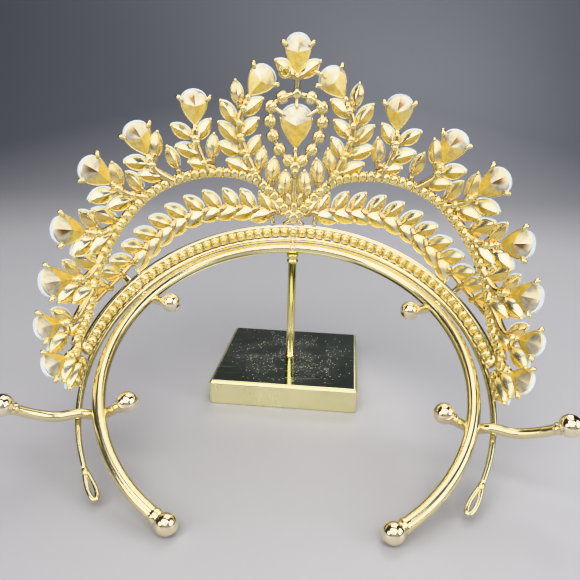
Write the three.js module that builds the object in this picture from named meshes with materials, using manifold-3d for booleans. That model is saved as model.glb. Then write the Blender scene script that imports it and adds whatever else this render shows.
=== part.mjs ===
// A gilt tiara of leaf sprays and pear stones, resting on a plain hoop stand.
// Millimetres, +Z up. The origin is under the stand's post, on the surface the base rests on.
// The wearer's side of the tiara faces -Y, where the band opens.
import * as THREE from 'three';
import { ConvexGeometry } from 'three/addons/geometries/ConvexGeometry.js';
import { mergeVertices } from 'three/addons/utils/BufferGeometryUtils.js';
import Module from 'manifold-3d';

const wasm = await Module();
wasm.setup();

const rad = THREE.MathUtils.degToRad;

// Clearance between neighbouring pieces
const GAP = 0.3;

// Stand
const HOOP_RADIUS = 68;
const HOOP_TUBE = 4.8;
const HOOP_TILT = rad(28);
const HOOP_END = rad(149.5);
const BALL = 7.6;
const BAR = 3.5;
const BASE = { side: 64, height: 10.6, edge: 0.8, turn: rad(-4.2) };
const POST = { diameter: 3.7, collar: 5.2, collarLength: 4 };
// Cross bars: distances from the middle of the hoop's tube, from the inner ball to the outer one,
// then each bar's place on the hoop and its height over the hoop's plane at those distances
const BAR_SPOTS = [-10, 0, 7, 14, 21, 28];
const BARS = [
  { angle: 106.4, heights: [0.8, -3.5, -0.1, 0.6, 5.2, 13] },
  { angle: 57.0, heights: [0.8, -3.6, -4, -2.2, 2.4, 10] },
];

// Tiara: a flared band, laid out flat and then bent round
const BAND_RADIUS = 75;
const BAND_TILT = rad(31.7);
const FLARE = rad(28);
const SEAT_ANGLE = rad(62);
const RAIL = 2.6;
const RAIL_END = rad(119);
const BAND_END = rad(84);
const BEADS = { count: 57, level: 3.25, diameter: 3.4, neck: 1.7 };
const STRIP = { level: 5.9, height: 1.5, depth: 2.4 };
const TIE = { every: 14, width: 1.2 };
const EYE = { length: 12.4, neck: 1.1, belly: 3.7, bellyAt: 0.62, tip: 0.5, thick: 2, turn: rad(65) };
const EYE_HOLE = { start: 0.26, belly: 1.9, end: 0.86 };
const ARCH = 3.8;
const STEM = { wire: 1.7, neck: 6, shy: 1.2 };
const LEAF = { length: 10.6, width: 5.0, thick: 2.3 };
// Shares of a leaf's size: how far along its corners lie, and their width or thickness
const LEAF_EDGE = [{ along: 0.34, half: 0.44 }, { along: 0.64, half: 0.46 }];
const LEAF_RIDGE = [{ along: 0.3, half: 0.5 }, { along: 0.72, half: 0.43 }];
// Pear stones: the table's share of the outline, its middle, and the keel's two ends
const PEAR = { length: 14.4, width: 11, crown: 3.3, pavilion: 3 };
const PEAR_CUT = { table: 0.56, middle: 0.56, keel: [0.3, 0.62], girdleSides: 14, tableSides: 8 };
// Claw wires: where they leave the stem, the turns of the outline they follow, and the tip
const CLAW = { wire: 0.9, root: -2, turns: [30, 62, 92, 118], tip: { on: 0.9, out: 0.7, in: 0.6 } };

// Middle line of one arch on the flat layout, from the centre of the band to its end
const ARCH_LINE = [
  [0, 8.7], [9, 20], [18, 27.2], [32, 30.2], [47, 29], [62, 23.5], [76, 12.5], [88.4, -2.3], [98, -20.2],
  [102.6, -24.9], [107, -29.1],
];
const ARCH_SPLIT = 0.186;
const NEAREST_STEPS = 80;
// Stem of the leaf garland under the arch
const GARLAND_LINE = [[6.6, 12], [20, 14.2], [36, 14.5], [50, 11], [64, 3.2], [78, -7.3], [94.5, -16.6]];
const GARLAND_PITCH = 1 / 12.8;
const GARLAND_ROWS = [{ count: 12, start: 0.5, turn: 50 }, { count: 9, start: 0.4, turn: -27 }];
// Leafy branch beside the centre, from the arch up to the stone at its head
const BRANCH_LINE = [[15, 25.5], [19.5, 34], [23, 43], [23.8, 51], [20.6, 59.8]];
const BRANCH = { outer: [0.18, 0.4, 0.58, 0.78], inner: [0.33, 0.56, 0.8], outerTurn: -34, innerTurn: 52 };
const HEAD_LEAF = { x: 24, y: 57.4, heading: 81 };
const FOOT_LEAVES = [
  { x: 4.6, y: 20.8, heading: 93 },
  { x: 10, y: 26, heading: 95 },
  { x: 15.2, y: 31, heading: 99 },
];

// Sprays along an arch: the stone's point, the way it heads, how far the outer leaves
// fall away from it, the stone's size, and which of the spray leaves it has
const SPRAYS = [
  { root: 0.326, x: 42.3, y: 49.6, heading: 90, fall: 58, scale: 1, leaves: [0, 1, 2, 3, 4] },
  { root: 0.433, x: 62.4, y: 38.3, heading: 67, fall: 58, scale: 1, leaves: [0, 1, 2, 3] },
  { root: 0.531, x: 78.2, y: 28.3, heading: 39, fall: 52, scale: 1, leaves: [0, 1, 2, 3] },
  { root: 0.633, x: 91.2, y: 11, heading: 12.6, fall: 44, scale: 1, leaves: [0, 1, 2, 3] },
  { root: 0.736, x: 100.5, y: -5.6, heading: 4.5, fall: 33, scale: 1, leaves: [0, 1, 2, 3] },
  { root: 0.838, x: 110.6, y: -20.2, heading: 4, fall: 38, scale: 0.82, leaves: [0, 1, 2] },
  { root: 0.98, x: 113.2, y: -32.4, heading: -5, fall: 30, scale: 0.82, leaves: [1, 5] },
];
// Leaves of a spray: place along and aside from the stone's point, turn from its heading
const SPRAY_LEAVES = [
  { along: -4.2, aside: 1.3, turn: 38, falls: 0 },
  { along: -2.8, aside: -1.9, turn: 0, falls: 1 },
  { along: -10, aside: 0.4, turn: 0, falls: 1 },
  { along: -12, aside: 5.6, turn: 11, falls: 0 },
  { along: -15.6, aside: 4.6, turn: 0, falls: 1.2 },
  { along: -3.6, aside: -5.6, turn: -14, falls: 0.4 },
];

// Centre motif: beads on an egg-shaped line round the large stone, with a stone over it. The line
// is half of the egg, from its top joint to its foot, and the beads sit on a stretch of it
const OVAL_LINE = [
  [0, 62.6], [5.7, 61.1], [10.4, 57.8], [11, 50.7], [9.5, 44.7], [6.8, 39.6], [3.2, 35.3], [0, 31.8],
];
const OVAL = { beads: 6, diameter: 4.6, neck: 1.8, start: 0.075, end: 0.966, lap: 0.02 };
const CENTRE_STONE = { x: 0, y: 40.4, heading: 90, length: 18.4, width: 13.4 };
const TOP_STONE = { x: 0, y: 70.2, heading: 90, length: 15.8, width: 10.4 };
const BRANCH_STONE = { x: 19.9, y: 61.4, heading: 129, length: PEAR.length, width: PEAR.width };
const TOP_LEAF = { x: 1, y: 69, heading: 38, scale: 0.95 };
const CENTRE_STEM_FOOT = 10;
// Short bars from the centre stone's claws to the oval
const EAR = { wire: 1.3, inner: { x: 7.7, y: 53.9 }, outer: { x: 10.6, y: 56.6 } };

const GILT = { color: 0xe0bd63, metalness: 1, roughness: 0.24 };
const FOILED_STONE = { color: 0xe9c877, metalness: 0.2, roughness: 0.06 };
const STAND_GILT = { color: 0xdccd95, metalness: 1, roughness: 0.2 };
const MIRROR_GILT = { color: 0xb8ad78, metalness: 1, roughness: 0.08 };

// Distance from the tip of the flat layout's fan to the band
const SLANT = BAND_RADIUS / Math.sin(FLARE);

// Bends a point of the flat layout, x across, y up and d out, round the flared band
function wrap(x, y, d) {
  const angle = Math.atan2(x, y + SLANT) / Math.sin(FLARE);
  const rise = Math.hypot(x, y + SLANT) - SLANT;
  const reach = BAND_RADIUS + rise * Math.sin(FLARE) + d * Math.cos(FLARE);
  return [reach * Math.sin(angle), reach * Math.cos(angle), rise * Math.cos(FLARE) - d * Math.sin(FLARE)];
}

// Moves every vertex of a geometry through a mapping
function mapped(geometry, mapping) {
  const position = geometry.getAttribute('position');
  for (let i = 0; i < position.count; i += 1) {
    position.setXYZ(i, ...mapping(position.getX(i), position.getY(i), position.getZ(i)));
  }
  return geometry;
}

function signedVolume(points, index) {
  const [a, b, c] = [0, 0, 0].map(() => new THREE.Vector3());
  let volume = 0;
  for (let i = 0; i < index.length; i += 3) {
    a.fromArray(points, 3 * index[i]);
    b.fromArray(points, 3 * index[i + 1]);
    c.fromArray(points, 3 * index[i + 2]);
    volume += a.dot(b.cross(c)) / 6;
  }
  return volume;
}

// Turns a closed geometry into a solid with its faces pointing out
function solid(geometry) {
  const bare = new THREE.BufferGeometry();
  bare.setAttribute('position', geometry.getAttribute('position').clone());
  bare.setIndex(geometry.index);
  const merged = mergeVertices(bare, 1e-4);
  const points = merged.getAttribute('position').array;
  const index = [];
  const all = merged.index.array;
  for (let i = 0; i < all.length; i += 3) {
    const corner = [all[i], all[i + 1], all[i + 2]];
    if (new Set(corner).size === 3) index.push(...corner);
  }
  if (signedVolume(points, index) < 0) index.reverse();
  const mesh = { numProp: 3, vertProperties: Float32Array.from(points), triVerts: Uint32Array.from(index) };
  return new wasm.Manifold(new wasm.Mesh(mesh));
}

const joined = (solids) => solids.reduce((whole, next) => whole.add(next));

function namedMesh(name, body, look) {
  const { vertProperties, triVerts } = body.getMesh();
  const geometry = new THREE.BufferGeometry();
  geometry.setAttribute('position', new THREE.BufferAttribute(Float32Array.from(vertProperties), 3));
  geometry.setIndex(new THREE.BufferAttribute(Uint32Array.from(triVerts), 1));
  const mesh = new THREE.Mesh(geometry, new THREE.MeshStandardMaterial(look));
  mesh.name = name;
  return mesh;
}

// Part of a circle in the XY plane, its angle counted from +Y towards +X
class Arc extends THREE.Curve {
  constructor(radius, start, end, centre = 0) {
    super();
    Object.assign(this, { radius, start, end, centre });
  }

  getPoint(t) {
    const angle = THREE.MathUtils.lerp(this.start, this.end, t);
    return new THREE.Vector3(this.radius * Math.sin(angle), this.radius * Math.cos(angle) + this.centre, 0);
  }
}

// Part of another curve, between two fractions of its length
class Stretch extends THREE.Curve {
  constructor(whole, start, end) {
    super();
    Object.assign(this, { whole, start, end });
  }

  getPoint(t) {
    return this.whole.getPointAt(THREE.MathUtils.lerp(this.start, this.end, t));
  }
}

function lineThrough(points) {
  return new THREE.CatmullRomCurve3(points.map(([x, y]) => new THREE.Vector3(x, y, 0)));
}

function polygon(diameter, sides) {
  const corners = [];
  for (let i = 0; i < sides; i += 1) {
    const angle = (2 * Math.PI * (i + 0.5)) / sides;
    corners.push(new THREE.Vector2(0.5 * diameter * Math.cos(angle), 0.5 * diameter * Math.sin(angle)));
  }
  return new THREE.Shape(corners);
}

function rectangle(width, height) {
  const corners = [[-1, -1], [1, -1], [1, 1], [-1, 1]];
  return new THREE.Shape(corners.map(([x, y]) => new THREE.Vector2((x * width) / 2, (y * height) / 2)));
}

function swept(section, path, steps) {
  return new THREE.ExtrudeGeometry(section, { steps, extrudePath: path, bevelEnabled: false });
}

// Round wire along a curve of the flat layout
function wire(path, diameter, sides, steps) {
  return solid(mapped(swept(polygon(diameter, sides), path, steps), wrap));
}

// String of beads on a curve of the flat layout: turned straight, then laid along it
function beadString(path, { beads, diameter, neck }) {
  const length = path.getLength();
  const pitch = length / beads;
  const profile = [new THREE.Vector2(0, 0)];
  for (let i = 0; i < beads; i += 1) {
    profile.push(new THREE.Vector2(neck / 2, i * pitch));
    profile.push(new THREE.Vector2(diameter / 2, (i + 0.5) * pitch));
  }
  profile.push(new THREE.Vector2(neck / 2, length), new THREE.Vector2(0, length));
  return solid(mapped(new THREE.LatheGeometry(profile, 10), (across, along, out) => {
    const t = THREE.MathUtils.clamp(along / length, 0, 1);
    const spot = path.getPointAt(t);
    const way = path.getTangentAt(t);
    return wrap(spot.x - across * way.y, spot.y + across * way.x, out);
  }));
}

// Places a geometry drawn along its own x axis at a spot and heading of the flat layout
function placed(geometry, { x, y, heading }, side = 1) {
  const cos = Math.cos(rad(heading));
  const sin = Math.sin(rad(heading));
  return mapped(geometry, (u, v, d) => wrap(side * (x + u * cos - v * sin), y + u * sin + v * cos, d));
}

// Navette leaf with a ridge on both faces, and a stalk that tapers to its foot on a stem
function leaf(place, side = 1, scale = 1, foot = place) {
  const length = LEAF.length * scale;
  const width = LEAF.width * scale;
  const [cos, sin] = [Math.cos(rad(place.heading)), Math.sin(rad(place.heading))];
  const [across, up] = [foot.x - place.x, foot.y - place.y];
  const corners = [[across * cos + up * sin, up * cos - across * sin, 0], [length, 0, 0]];
  for (const turn of [-1, 1]) {
    LEAF_EDGE.forEach(({ along, half }) => corners.push([along * length, turn * half * width, 0]));
    LEAF_RIDGE.forEach(({ along, half }) => corners.push([along * length, 0, turn * half * LEAF.thick]));
  }
  const points = corners.map((corner) => new THREE.Vector3(...corner));
  return solid(placed(new ConvexGeometry(points), place, side));
}

// Half width of a pear outline at a turn from its point (0) to its round end (pi)
const pearBulge = (turn) => Math.sin(turn) * Math.sin(turn / 2);
const PEAR_WIDEST = pearBulge(Math.acos(-1 / 3));
const pearHalfWidth = (turn, width) => ((width / 2) * pearBulge(turn)) / PEAR_WIDEST;
const pearAlong = (turn, length) => (length * (1 - Math.cos(turn))) / 2;

// Pear-cut stone: table and crown facets outwards, a keeled pavilion towards the wearer
function pearStone(place, side, { length, width }) {
  const scale = width / PEAR.width;
  const rings = [
    { shrink: 1, d: 0, points: PEAR_CUT.girdleSides },
    { shrink: PEAR_CUT.table, d: PEAR.crown * scale, points: PEAR_CUT.tableSides },
  ];
  const middle = PEAR_CUT.middle * length;
  const points = [];
  for (const ring of rings) {
    for (let i = 0; i < ring.points; i += 1) {
      const turn = (2 * Math.PI * i) / ring.points;
      const along = pearAlong(turn, length);
      const aside = Math.sign(Math.sin(turn)) * Math.abs(pearHalfWidth(turn, width));
      points.push(new THREE.Vector3(middle + (along - middle) * ring.shrink, aside * ring.shrink, ring.d));
    }
  }
  PEAR_CUT.keel.forEach((share) => points.push(new THREE.Vector3(share * length, 0, -PEAR.pavilion * scale)));
  return solid(placed(new ConvexGeometry(points), place, side));
}

// Two claw wires that leave the stem at the stone's point and hold its sides
function clawPair(place, side, { length, width }) {
  const stand = GAP + CLAW.wire / 2;
  const arms = [];
  for (const hand of [-1, 1]) {
    const route = [new THREE.Vector3(CLAW.root, 0, 0)];
    for (const turn of CLAW.turns.map(rad)) {
      const along = pearAlong(turn, length) - stand * Math.cos(turn / 2);
      route.push(new THREE.Vector3(along, hand * (pearHalfWidth(turn, width) + stand), 0));
    }
    const end = route[route.length - 1];
    route.push(new THREE.Vector3(end.x + CLAW.tip.on, end.y + hand * CLAW.tip.out, -CLAW.tip.in));
    const path = new THREE.CatmullRomCurve3(route);
    arms.push(solid(placed(swept(polygon(CLAW.wire, 3), path, 4), place, side)));
  }
  return joined(arms);
}

const stones = [];

// Notes a stone for a node of its own and gives the claws that hold it
function setStone(name, place, side, size) {
  stones.push({ name, body: pearStone(place, side, size) });
  return clawPair(place, side, size);
}

const archLine = lineThrough(ARCH_LINE);
const archFoot = new Stretch(archLine, 0, ARCH_SPLIT);
const archSide = new Stretch(archLine, ARCH_SPLIT + ARCH / archLine.getLength(), 1);
const mirroredLine = (line, side) => lineThrough(line.map(([x, y]) => [side * x, y]));

// Band: lower rail with an eye at each end, a row of beads and the strip they hang from
function tiaraBand() {
  const atLevel = (level, end) => {
    const spread = end * Math.sin(FLARE);
    return new Arc(SLANT + level, -spread, spread, -SLANT);
  };
  const stripSection = rectangle(STRIP.depth, STRIP.height);
  const beadPath = atLevel(BEADS.level, BAND_END);
  const solids = [
    wire(atLevel(0, RAIL_END), RAIL, 6, 40),
    beadString(beadPath, { beads: BEADS.count, diameter: BEADS.diameter, neck: BEADS.neck }),
    solid(mapped(swept(stripSection, atLevel(STRIP.level, BAND_END), 40), wrap)),
  ];
  const reach = Math.floor((BEADS.count - 1) / 2 / TIE.every) * TIE.every;
  for (let bead = -reach; bead <= reach; bead += TIE.every) {
    const turn = (bead / BEADS.count) * 2 * BAND_END * Math.sin(FLARE);
    const tie = new THREE.BoxGeometry(TIE.width, STRIP.level, TIE.width).translate(0, STRIP.level / 2, 0);
    solids.push(solid(mapped(tie, (x, y, d) => {
      const [cos, sin] = [Math.cos(turn), Math.sin(turn)];
      return wrap((SLANT + y) * sin + x * cos, (SLANT + y) * cos - SLANT - x * sin, d);
    })));
  }
  for (const side of [-1, 1]) solids.push(endEye(side));
  return joined(solids);
}

// Drop-shaped eye at the end of the rail, turned to face the open side
function endEye(side) {
  const belly = EYE.bellyAt * EYE.length;
  const outline = new THREE.Shape();
  outline.moveTo(-EYE.neck, -EYE.neck);
  outline.quadraticCurveTo(belly, -EYE.belly, EYE.length, -EYE.tip);
  outline.lineTo(EYE.length, EYE.tip);
  outline.quadraticCurveTo(belly, EYE.belly, -EYE.neck, EYE.neck);
  outline.closePath();
  const hole = new THREE.Path();
  hole.moveTo(EYE_HOLE.start * EYE.length, 0);
  hole.quadraticCurveTo(belly, EYE_HOLE.belly, EYE_HOLE.end * EYE.length, 0);
  hole.quadraticCurveTo(belly, -EYE_HOLE.belly, EYE_HOLE.start * EYE.length, 0);
  outline.holes.push(hole);
  const eye = new THREE.ExtrudeGeometry(outline, { depth: EYE.thick, bevelEnabled: false, curveSegments: 6 });
  eye.translate(0, 0, -EYE.thick / 2).rotateX(EYE.turn);
  const turn = RAIL_END * Math.sin(FLARE);
  const heading = -THREE.MathUtils.radToDeg(turn);
  return solid(placed(eye, { x: SLANT * Math.sin(turn), y: SLANT * Math.cos(turn) - SLANT, heading }, side));
}

// Heading of a curve of the flat layout at a fraction of its length, in degrees
function headingAt(path, share) {
  const way = path.getTangentAt(share);
  return THREE.MathUtils.radToDeg(Math.atan2(way.y, way.x));
}

// Point of some curves of the flat layout that lies nearest to a place
function nearestOn(paths, { x, y }) {
  const spots = paths.flatMap((path) => path.getSpacedPoints(NEAREST_STEPS));
  const distance = (spot) => Math.hypot(spot.x - x, spot.y - y);
  return spots.reduce((best, spot) => (distance(spot) < distance(best) ? spot : best));
}

// Leaf that grows from a curve of the flat layout, turned off the way it runs
function leafOn(path, share, turn, side) {
  const spot = path.getPointAt(share);
  return leaf({ x: spot.x, y: spot.y, heading: headingAt(path, share) + turn }, side);
}

const stoneName = (side, index) => `stone_${side < 0 ? 'left' : 'right'}_${index}`;

function spray(row, index, side) {
  const size = { length: PEAR.length * row.scale, width: PEAR.width * row.scale };
  const place = { x: row.x, y: row.y, heading: row.heading };
  const cos = Math.cos(rad(row.heading));
  const sin = Math.sin(rad(row.heading));
  const root = archLine.getPointAt(row.root);
  const behind = (distance) => [row.x - distance * cos, row.y - distance * sin];
  const route = [[root.x, root.y], behind(STEM.neck), behind(STEM.shy)];
  const grows = [archSide, lineThrough(route)];
  const solids = [
    wire(mirroredLine(route, side), STEM.wire, 4, 4),
    setStone(stoneName(side, index + 1), place, side, size),
  ];
  for (const { along, aside, turn, falls } of row.leaves.map((which) => SPRAY_LEAVES[which])) {
    const base = { x: row.x + along * cos - aside * sin, y: row.y + along * sin + aside * cos };
    const heading = row.heading + turn - falls * row.fall;
    solids.push(leaf({ ...base, heading }, side, 1, nearestOn(grows, base)));
  }
  return joined(solids);
}

function garland(side) {
  const line = lineThrough(GARLAND_LINE);
  const solids = [wire(mirroredLine(GARLAND_LINE, side), STEM.wire, 4, 14)];
  for (const { count, start, turn } of GARLAND_ROWS) {
    for (let i = 0; i < count; i += 1) solids.push(leafOn(line, (i + start) * GARLAND_PITCH, turn, side));
  }
  return joined(solids);
}

// One side: arch, the sprays on it and the garland under it
function sideOrnament(side) {
  const whole = mirroredLine(ARCH_LINE, side);
  const split = ARCH_SPLIT + GAP / whole.getLength();
  const solids = [wire(new Stretch(whole, split, 1), ARCH, 6, 28), garland(side)];
  SPRAYS.forEach((row, index) => solids.push(spray(row, index, side)));
  return joined(solids);
}

// Half of the oval: a plain bar from its top joint, then a string of beads to its foot
function ovalSide(side) {
  const line = mirroredLine(OVAL_LINE, side);
  const bar = wire(new Stretch(line, 0, OVAL.start + OVAL.lap), STEM.wire, 5, 2);
  return bar.add(beadString(new Stretch(line, OVAL.start, OVAL.end), OVAL));
}

function bead(x, y, diameter) {
  const ball = new THREE.SphereGeometry(diameter / 2, 10, 4);
  return solid(mapped(ball, (u, v, d) => wrap(x + u, y + v, d)));
}

function centreMotif() {
  const top = OVAL_LINE[0][1];
  const foot = OVAL_LINE.at(-1)[1];
  const stoneEnd = CENTRE_STONE.y + CENTRE_STONE.length;
  const solids = [
    wire(lineThrough([[0, CENTRE_STEM_FOOT], [0, foot]]), STEM.wire, 5, 4),
    wire(lineThrough([[0, foot], [0, CENTRE_STONE.y - STEM.shy]]), STEM.wire, 5, 2),
    wire(lineThrough([[0, stoneEnd + GAP], [0, top]]), EAR.wire, 5, 1),
    wire(lineThrough([[0, top], [0, TOP_STONE.y - STEM.shy]]), STEM.wire, 5, 2),
    bead(0, top, OVAL.diameter),
    bead(0, foot, OVAL.diameter),
    setStone('stone_centre', CENTRE_STONE, 1, CENTRE_STONE),
    setStone('stone_top', TOP_STONE, 1, TOP_STONE),
  ];
  const branch = lineThrough(BRANCH_LINE);
  for (const side of [-1, 1]) {
    solids.push(wire(new Stretch(mirroredLine(ARCH_LINE, side), 0, ARCH_SPLIT), ARCH, 6, 7));
    solids.push(ovalSide(side));
    solids.push(wire(mirroredLine(BRANCH_LINE, side), STEM.wire, 4, 8));
    solids.push(setStone(stoneName(side, 0), BRANCH_STONE, side, BRANCH_STONE));
    solids.push(leaf(TOP_LEAF, side, TOP_LEAF.scale));
    solids.push(leaf(HEAD_LEAF, side, 1, nearestOn([branch], HEAD_LEAF)));
    FOOT_LEAVES.forEach((place) => solids.push(leaf(place, side, 1, nearestOn([archFoot, branch], place))));
    BRANCH.outer.forEach((share) => solids.push(leafOn(branch, share, BRANCH.outerTurn, side)));
    BRANCH.inner.forEach((share) => solids.push(leafOn(branch, share, BRANCH.innerTurn, side)));
    const ear = [[EAR.inner.x, EAR.inner.y], [EAR.outer.x, EAR.outer.y]];
    solids.push(wire(mirroredLine(ear, side), EAR.wire, 5, 1));
  }
  return joined(solids);
}

// Hoop with a ball at each end and four cross bars soldered under it
function standHoop() {
  const ball = (x, y, z) => {
    const upright = new THREE.SphereGeometry(BALL / 2, 10, 6).rotateX(Math.PI / 2 - HOOP_TILT);
    return solid(upright.translate(x, y, z));
  };
  const hoopPath = new Arc(HOOP_RADIUS, -HOOP_END, HOOP_END);
  const solids = [solid(swept(polygon(HOOP_TUBE, 10), hoopPath, 30))];
  for (const side of [-1, 1]) {
    const end = hoopPath.getPoint(side < 0 ? 0 : 1);
    solids.push(ball(end.x, end.y, 0));
    for (const { angle, heights } of BARS) {
      const [across, up] = [side * Math.sin(rad(angle)), Math.cos(rad(angle))];
      const route = BAR_SPOTS.map((out, i) => new THREE.Vector3(
        (HOOP_RADIUS + out) * across, (HOOP_RADIUS + out) * up, heights[i]));
      solids.push(solid(swept(polygon(BAR, 6), new THREE.CatmullRomCurve3(route), 12)));
      for (const tip of [route[0], route[route.length - 1]]) solids.push(ball(tip.x, tip.y, tip.z));
    }
  }
  return joined(solids);
}

function standBase() {
  const side = BASE.side - 2 * BASE.edge;
  const square = rectangle(side, side);
  const block = new THREE.ExtrudeGeometry(square, {
    depth: BASE.height - 2 * BASE.edge,
    bevelSize: BASE.edge,
    bevelThickness: BASE.edge,
    bevelSegments: 3,
  });
  return solid(block.translate(0, 0, BASE.edge));
}

function standPost(hoopHeight) {
  const foot = BASE.height + GAP;
  const head = hoopHeight - HOOP_TUBE / 2 - GAP;
  const shoulder = head - POST.collarLength;
  const [slim, wide] = [POST.diameter / 2, POST.collar / 2];
  const profile = [[0, foot], [slim, foot], [slim, shoulder], [wide, shoulder], [wide, head], [0, head]];
  const turned = new THREE.LatheGeometry(profile.map(([r, z]) => new THREE.Vector2(r, z)), 16);
  return solid(turned.rotateX(Math.PI / 2));
}

// The hoop leans so that its two end balls stand on the same surface as the base
const hoopHeight = BALL / 2 + HOOP_RADIUS * Math.sin(HOOP_TILT) * (1 - Math.cos(HOOP_END));
const hoopGroup = new THREE.Group();
hoopGroup.rotation.x = HOOP_TILT;
hoopGroup.position.set(0, -HOOP_RADIUS * Math.cos(HOOP_TILT), hoopHeight - HOOP_RADIUS * Math.sin(HOOP_TILT));
hoopGroup.add(namedMesh('stand_hoop', standHoop(), STAND_GILT));

const baseMesh = namedMesh('stand_base', standBase(), MIRROR_GILT);
baseMesh.rotation.z = BASE.turn;

// The tiara's rail sits on the highest part of the hoop
const seat = (HOOP_TUBE + RAIL) / 2 + GAP;
const tiaraGroup = new THREE.Group();
tiaraGroup.rotation.x = BAND_TILT;
tiaraGroup.position.set(
  0,
  seat * Math.cos(SEAT_ANGLE) - BAND_RADIUS * Math.cos(BAND_TILT),
  hoopHeight + seat * Math.sin(SEAT_ANGLE) - BAND_RADIUS * Math.sin(BAND_TILT),
);
tiaraGroup.add(namedMesh('tiara_band', tiaraBand(), GILT));
tiaraGroup.add(namedMesh('ornament_left', sideOrnament(-1), GILT));
tiaraGroup.add(namedMesh('ornament_right', sideOrnament(1), GILT));
tiaraGroup.add(namedMesh('centre_motif', centreMotif(), GILT));
stones.forEach(({ name, body }) => tiaraGroup.add(namedMesh(name, body, FOILED_STONE)));

const tiaraOnStand = new THREE.Group();
tiaraOnStand.add(baseMesh, namedMesh('stand_post', standPost(hoopHeight), STAND_GILT), hoopGroup, tiaraGroup);

export default tiaraOnStand;
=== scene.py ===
import math

import bpy
import numpy as np
from mathutils import Matrix


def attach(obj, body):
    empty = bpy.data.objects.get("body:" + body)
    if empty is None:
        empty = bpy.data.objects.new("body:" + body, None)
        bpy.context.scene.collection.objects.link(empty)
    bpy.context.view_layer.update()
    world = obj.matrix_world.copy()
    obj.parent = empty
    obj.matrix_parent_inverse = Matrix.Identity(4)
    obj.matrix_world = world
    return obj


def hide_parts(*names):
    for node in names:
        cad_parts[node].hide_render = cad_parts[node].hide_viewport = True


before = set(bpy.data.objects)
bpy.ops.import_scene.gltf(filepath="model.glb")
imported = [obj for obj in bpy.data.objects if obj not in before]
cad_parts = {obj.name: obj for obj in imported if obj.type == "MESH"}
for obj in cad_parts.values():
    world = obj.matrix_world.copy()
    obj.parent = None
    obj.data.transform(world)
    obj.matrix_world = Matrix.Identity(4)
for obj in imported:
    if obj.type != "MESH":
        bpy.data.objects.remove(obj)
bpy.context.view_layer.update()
print("frame loaded with", len(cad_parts), "nodes")

mm = 0.001
clearance = 0.3  # between neighbouring pieces, in millimetres
railRadius = 1.3

# the tiara is drawn flat in millimetres (across, up, towards the wearer) and then bent round its flare
flare = {
    "radius": 75.0, "angle": math.radians(28),
    "tilt": math.radians(31.7), "seatAngle": math.radians(62),
}
hoop = {
    "radius": 68.0, "tube": 2.4, "tilt": math.radians(28), "end": math.radians(149.5),
    "ball": 3.8, "bar": 1.75, "spots": (-10, 0, 7, 14, 21, 28),  # distances from the tube's middle line
    "bars": [  # place on the hoop and heights over its plane, from the inner ball to the outer one
        {"angle": 106.4, "heights": (0.8, -3.5, -0.1, 0.6, 5.2, 13)},
        {"angle": 57.0, "heights": (0.8, -3.6, -4, -2.2, 2.4, 10)},
    ],
}
hoopHeight = hoop["ball"] + hoop["radius"] * math.sin(hoop["tilt"]) * (1 - math.cos(hoop["end"]))
slant = flare["radius"] / math.sin(flare["angle"])
seat = hoop["tube"] + railRadius + clearance


def bend(points):
    across, up, inward = np.asarray(points, float).T
    sine, cosine = math.sin(flare["angle"]), math.cos(flare["angle"])
    turn = np.arctan2(across, up + slant) / sine
    rise = np.hypot(across, up + slant) - slant
    reach = flare["radius"] + rise * sine - inward * cosine
    height = rise * cosine + inward * sine
    sineT, cosineT = math.sin(flare["tilt"]), math.cos(flare["tilt"])
    back = reach * np.cos(turn)
    originY = seat * math.cos(flare["seatAngle"]) - flare["radius"] * cosineT
    originZ = hoopHeight + seat * math.sin(flare["seatAngle"]) - flare["radius"] * sineT
    return np.stack([
        reach * np.sin(turn),
        originY + back * cosineT - height * sineT,
        originZ + back * sineT + height * cosineT,
    ], axis=1) * mm


def lean(points):
    across, along, up = np.asarray(points, float).T  # from the hoop's own plane to the room
    sine, cosine = math.sin(hoop["tilt"]), math.cos(hoop["tilt"])
    return np.stack([
        across,
        along * cosine - up * sine - hoop["radius"] * cosine,
        along * sine + up * cosine + hoopHeight - hoop["radius"] * sine,
    ], axis=1) * mm


def smoothLine(points, count):  # a spline through the points, in even steps
    spots = np.array(points, float)
    spots = np.vstack([2 * spots[0] - spots[1], spots, 2 * spots[-1] - spots[-2]])
    s = np.linspace(0, 1, 40)[:, None]
    runs = []
    for before, here, ahead, after in zip(spots, spots[1:], spots[2:], spots[3:]):
        steps = (here - before, ahead - here, after - ahead)
        first, middle, last = (math.sqrt(np.linalg.norm(step)) for step in steps)
        leave = (steps[0] / first - (ahead - before) / (first + middle) + steps[1] / middle) * middle
        arrive = (steps[1] / middle - (after - here) / (middle + last) + steps[2] / last) * middle
        runs.append((2 * s**3 - 3 * s**2 + 1) * here + (s**3 - 2 * s**2 + s) * leave
                    + (3 * s**2 - 2 * s**3) * ahead + (s**3 - s**2) * arrive)
    return evenly(np.vstack(runs), count)


def evenly(line, count):
    steps = np.linalg.norm(np.diff(line, axis=0), axis=1)
    travel = np.concatenate([[0], np.cumsum(steps)])
    wanted = np.linspace(0, travel[-1], count)
    return np.stack([np.interp(wanted, travel, line[:, k]) for k in range(line.shape[1])], axis=1)


def lengthOf(line):
    return float(np.linalg.norm(np.diff(line, axis=0), axis=1).sum())


def lifted(line, height=0.0):
    return np.column_stack([line[:, :2], np.full(len(line), height)])


# shapes are (points, faces, marks): a mark runs from 0 on open metal to 1 where shade is painted in a corner,
# crease or gap, and may have a second value, from 0 to 1 where a dark line or wedge of shade is painted
def grid(rows, count, closed):  # faces between rows of points
    return [
        (i * count + k, i * count + (k + 1) % count, (i + 1) * count + (k + 1) % count, (i + 1) * count + k)
        for i in range(rows - 1) for k in range(count if closed else count - 1)
    ]


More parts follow.
